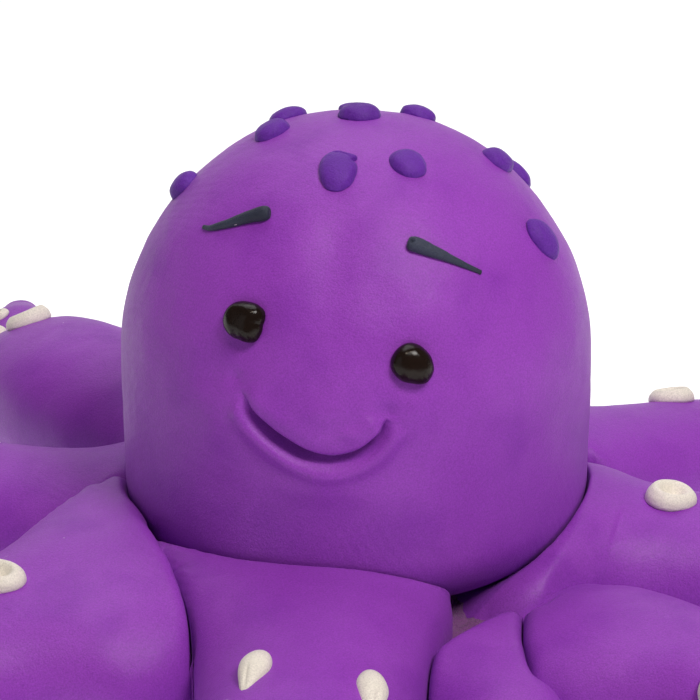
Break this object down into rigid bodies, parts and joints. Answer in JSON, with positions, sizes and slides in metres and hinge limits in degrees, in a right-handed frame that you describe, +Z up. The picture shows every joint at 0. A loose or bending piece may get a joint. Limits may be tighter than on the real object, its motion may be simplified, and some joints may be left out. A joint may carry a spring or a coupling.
{
  "type": "modelling-clay octopus figure",
  "caption": "Hand-modelled clay octopus: a domed head that turns on a neck peg over a ring of soft arms that bend up on an inner wire.",
  "frame": {"origin": "on the table surface, on the axis of the neck peg", "axes": "+Z up along the neck peg, the face looks along -Y, +X to the viewer's right"},
  "size_m": [0.19, 0.1899, 0.0651],
  "materials": {
    "clay_purple": "smoothed by fingers, satin",
    "clay_dark_purple": "matt",
    "clay_slate": "satin",
    "clay_cream": "matt",
    "clay_black": "glossy",
    "foam_core": "raw",
    "wood_peg": "raw",
    "wire": "drawn"
  },
  "bodies": {
    "core": {"hub": "clay_purple", "neck_peg": "wood_peg", "armature_spider": "wire", "arm_front_root": "clay_purple", "arm_front_left_root": "clay_purple", "arm_left_root": "clay_purple", "arm_back_left_root": "clay_purple", "arm_back_right_root": "clay_purple", "arm_right_root": "clay_purple", "arm_front_right_root": "clay_purple", "arm_tucked_root": "clay_purple"},
    "head": {"head_clay": "clay_purple", "head_core": "foam_core", "eye_left": "clay_black", "eye_right": "clay_black", "brow_left": "clay_slate", "brow_right": "clay_slate", "dot_01": "clay_dark_purple", "dot_02": "clay_dark_purple", "dot_03": "clay_dark_purple", "dot_04": "clay_dark_purple", "dot_05": "clay_dark_purple", "dot_06": "clay_dark_purple", "dot_07": "clay_dark_purple", "dot_08": "clay_dark_purple", "dot_09": "clay_dark_purple", "dot_10": "clay_dark_purple", "dot_11": "clay_dark_purple", "dot_12": "clay_dark_purple", "dot_13": "clay_dark_purple", "dot_14": "clay_dark_purple", "dot_15": "clay_dark_purple", "dot_16": "clay_dark_purple"},
    "arm_front": {"arm_front": "clay_purple", "wire_front": "wire", "suckers_front": "clay_cream"},
    "arm_front_left": {"arm_front_left": "clay_purple", "wire_front_left": "wire", "suckers_front_left": "clay_cream"},
    "arm_left": {"arm_left": "clay_purple", "wire_left": "wire", "suckers_left": "clay_cream"},
    "arm_back_left": {"arm_back_left": "clay_purple", "wire_back_left": "wire", "suckers_back_left": "clay_cream"},
    "arm_back_right": {"arm_back_right": "clay_purple", "wire_back_right": "wire", "suckers_back_right": "clay_cream"},
    "arm_right": {"arm_right": "clay_purple", "wire_right": "wire", "suckers_right": "clay_cream"},
    "arm_front_right": {"arm_front_right": "clay_purple", "wire_front_right": "wire", "suckers_front_right": "clay_cream"},
    "arm_tucked": {"arm_tucked": "clay_purple", "wire_tucked": "wire", "suckers_tucked": "clay_cream"}
  },
  "joints": [
    {"name": "head_turn", "type": "hinge", "parent": "core", "child": "head", "pos_m": [0, 0, 0.012], "axis": [0, 0, 1], "range_deg": [-45, 45]},
    {"name": "bend_front", "type": "hinge", "parent": "core", "child": "arm_front", "pos_m": [-0.00439, -0.03573, 0.0094], "axis": [-0.9925, 0.1219, 0], "range_deg": [0, 35]},
    {"name": "bend_front_left", "type": "hinge", "parent": "core", "child": "arm_front_left", "pos_m": [-0.02912, -0.02116, 0.0094], "axis": [-0.5878, 0.809, 0], "range_deg": [0, 35]},
    {"name": "bend_left", "type": "hinge", "parent": "core", "child": "arm_left", "pos_m": [-0.03508, 0.0081, 0.009], "axis": [0.225, 0.9744, 0], "range_deg": [0, 35]},
    {"name": "bend_back_left", "type": "hinge", "parent": "core", "child": "arm_back_left", "pos_m": [-0.02216, 0.02837, 0.0094], "axis": [0.788, 0.6157, 0], "range_deg": [0, 35]},
    {"name": "bend_back_right", "type": "hinge", "parent": "core", "child": "arm_back_right", "pos_m": [0.02912, 0.02116, 0.0088], "axis": [0.5878, -0.809, 0], "range_deg": [0, 35]},
    {"name": "bend_right", "type": "hinge", "parent": "core", "child": "arm_right", "pos_m": [0.03565, -0.00501, 0.0089], "axis": [-0.1392, -0.9903, 0], "range_deg": [0, 35]},
    {"name": "bend_front_right", "type": "hinge", "parent": "core", "child": "arm_front_right", "pos_m": [0.0259, -0.02501, 0.0086], "axis": [-0.6947, -0.7193, 0], "range_deg": [0, 35]},
    {"name": "bend_tucked", "type": "hinge", "parent": "core", "child": "arm_tucked", "pos_m": [0.01349, -0.03338, 0.0062], "axis": [-0.9272, -0.3746, 0], "range_deg": [0, 35]}
  ]
}
